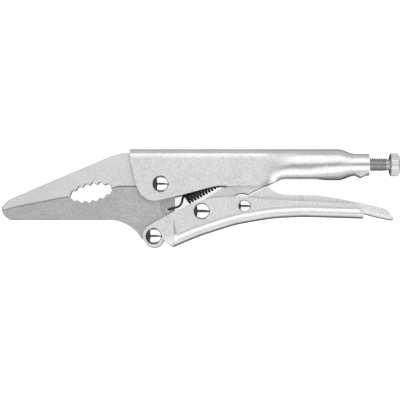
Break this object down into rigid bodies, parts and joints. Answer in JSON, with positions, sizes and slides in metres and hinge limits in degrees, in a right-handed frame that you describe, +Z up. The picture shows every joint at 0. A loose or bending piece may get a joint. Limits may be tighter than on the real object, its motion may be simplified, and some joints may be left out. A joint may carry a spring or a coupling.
{
  "type": "locking pliers",
  "caption": "Long-nose locking pliers: serrated jaws with a toothed oval grip, folded sheet handles, toggle link, release lever, return spring and adjusting screw.",
  "frame": {"origin": "middle of the bounding box in X and Y, on the surface that the tool lies on", "axes": "+X from the jaw tips to the adjusting knob, +Y from the lower handle to the upper handle, +Z up through the thickness, along every rivet"},
  "size_m": [0.1708, 0.0425, 0.0134],
  "materials": {
    "handle_plating": "satin zinc plating on folded sheet steel",
    "jaw_plating": "fine blasted zinc plating on forged steel",
    "rivet_steel": "polished rivet heads",
    "screw_plating": "plated turned steel",
    "spring_steel": "blackened spring wire"
  },
  "bodies": {
    "root": {"upper_handle": "handle_plating", "fixed_jaw": "jaw_plating", "jaw_pivot_rivet": "rivet_steel", "spring": "spring_steel"},
    "moving_jaw": {"moving_jaw": "jaw_plating"},
    "lower_handle": {"lower_handle": "handle_plating", "lower_jaw_rivet": "rivet_steel", "link_rivet": "rivet_steel", "lever_rivet": "rivet_steel"},
    "toggle_link": {"toggle_link": "jaw_plating"},
    "release_lever": {"release_lever": "handle_plating"},
    "screw": {"screw_shank": "screw_plating"},
    "knob": {"screw_knob": "screw_plating"}
  },
  "joints": [
    {"name": "handle_pivot", "type": "hinge", "parent": "moving_jaw", "child": "lower_handle", "pos_m": [-0.0201, -0.0164, 0.0067], "axis": [0, 0, 1], "range_deg": [-66.58, 0]},
    {"name": "jaw_pivot", "type": "hinge", "parent": "root", "child": "moving_jaw", "pos_m": [-0.0172, 0.006, 0.0067], "axis": [0, 0, 1], "range_deg": [0, 26.1], "deforming": ["spring"]},
    {"name": "link_pivot", "type": "hinge", "parent": "lower_handle", "child": "toggle_link", "pos_m": [0.0004, -0.0057, 0.0067], "axis": [0, 0, 1], "range_deg": [0, 65.4]},
    {"name": "lever_pivot", "type": "hinge", "parent": "lower_handle", "child": "release_lever", "pos_m": [0.01865, -0.0035, 0.0067], "axis": [0, 0, 1], "range_deg": [0, 3.2]},
    {"name": "screw_travel", "type": "slide", "parent": "root", "child": "screw", "axis": [1, 0, 0], "range_m": [0, 0.012]},
    {"name": "knob_turn", "type": "hinge", "parent": "screw", "child": "knob", "pos_m": [0.083, 0.01455, 0.0067], "axis": [1, 0, 0], "range_deg": [0, 4320.1]}
  ],
  "couplings": [
    {"joint": "jaw_pivot", "follows": "handle_pivot", "ratio": -0.3905},
    {"joint": "link_pivot", "follows": "handle_pivot", "ratio": -0.9808},
    {"joint": "knob_turn", "follows": "screw_travel", "rad_per_m": 6283.2}
  ]
}
